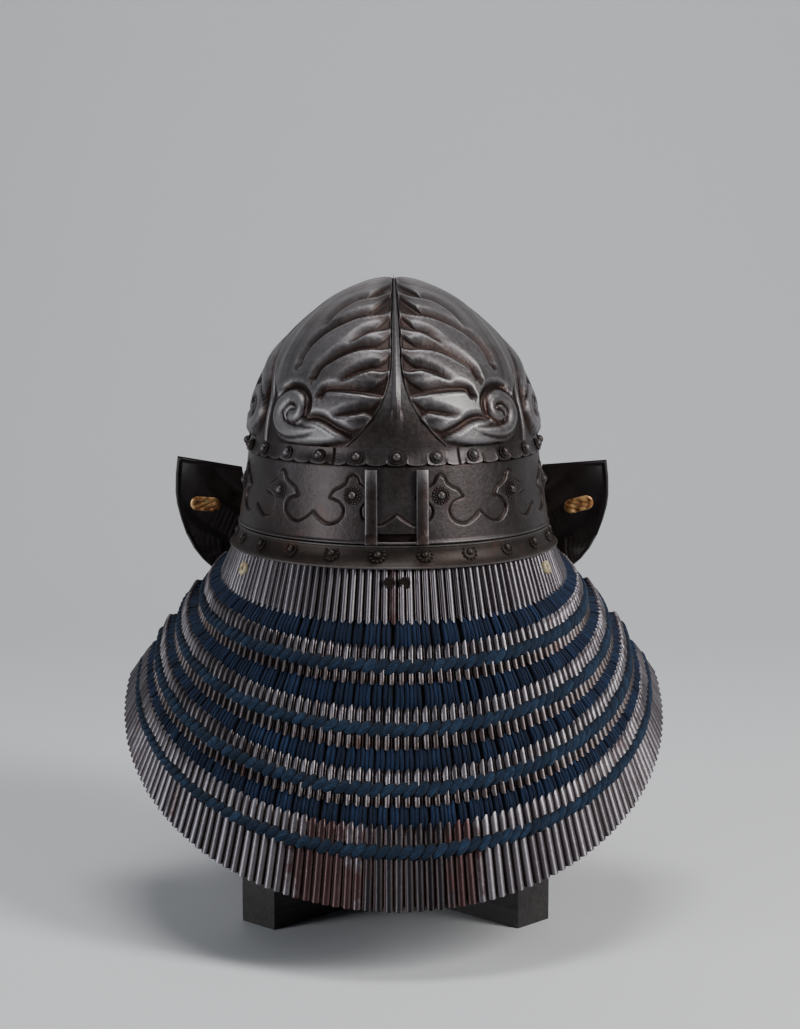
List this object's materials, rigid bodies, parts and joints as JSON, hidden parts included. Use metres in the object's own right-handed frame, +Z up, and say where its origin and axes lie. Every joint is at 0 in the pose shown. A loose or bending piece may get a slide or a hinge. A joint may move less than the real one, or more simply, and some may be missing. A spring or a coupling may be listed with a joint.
{
  "type": "kabuto samurai helmet on a wooden stand",
  "caption": "Domed iron helmet with embossed leaf plates, riveted waist, laced lamellar neck guard and turned-back wings, held on a crossed wooden stand.",
  "frame": {"origin": "centre of the lower cross beam's underside, on the surface that the stand rests on, under the middle of the bowl", "axes": "+Z up, -Y the wearer's front where the visor is, +Y the rear where the neck guard hangs lowest, +X the wearer's left"},
  "size_m": [0.345, 0.3516, 0.399],
  "materials": {
    "iron": "satin russet iron with a fine grain",
    "scales": "semi-gloss silver lacquer, worn to brown",
    "lacquer": "gloss black lacquer",
    "lacing": "matt indigo silk",
    "braid": "matt grey-blue twisted silk",
    "gilt": "mottled worn gilding",
    "bone": "aged ivory colour",
    "wood": "dark stained sawn wood"
  },
  "bodies": {
    "root": {"bowl_plate_rear_left": "iron", "bowl_plate_front_left": "iron", "bowl_plate_front_right": "iron", "bowl_plate_rear_right": "iron", "bowl_crown_plug": "iron", "panel_rear_left": "iron", "panel_rear_right": "iron", "panel_front_left": "iron", "panel_front_right": "iron", "seam_rib_left": "iron", "seam_rib_right": "iron", "spade_rear": "iron", "spade_front": "iron", "crown_band": "iron", "waist_band": "iron", "waist_overlay": "iron", "base_flange": "iron", "strap_left": "iron", "strap_right": "iron", "waist_rivet_16_left": "iron", "waist_rivet_16_right": "iron", "waist_rivet_47_left": "iron", "waist_rivet_47_right": "iron", "waist_rivet_78_left": "iron", "waist_rivet_78_right": "iron", "waist_rivet_109_left": "iron", "waist_rivet_109_right": "iron", "waist_rivet_140_left": "iron", "waist_rivet_140_right": "iron", "waist_rivet_171_left": "iron", "waist_rivet_171_right": "iron", "visor": "lacquer", "lame_1": "scales", "lame_2": "scales", "lame_3": "scales", "lame_4": "scales", "lame_5": "scales", "lacing_1": "lacing", "lacing_2": "lacing", "lacing_3": "lacing", "lacing_4": "lacing", "braid_2": "braid", "braid_3": "braid", "braid_4": "braid", "braid_5": "braid", "grommet_left": "bone", "grommet_right": "bone", "wing_left": "lacquer", "wing_right": "lacquer", "wing_badge_left": "gilt", "wing_badge_right": "gilt", "stand_beam_a": "wood", "stand_beam_b": "wood", "stand_post": "wood", "stand_head": "wood"}
  },
  "joints": []
}
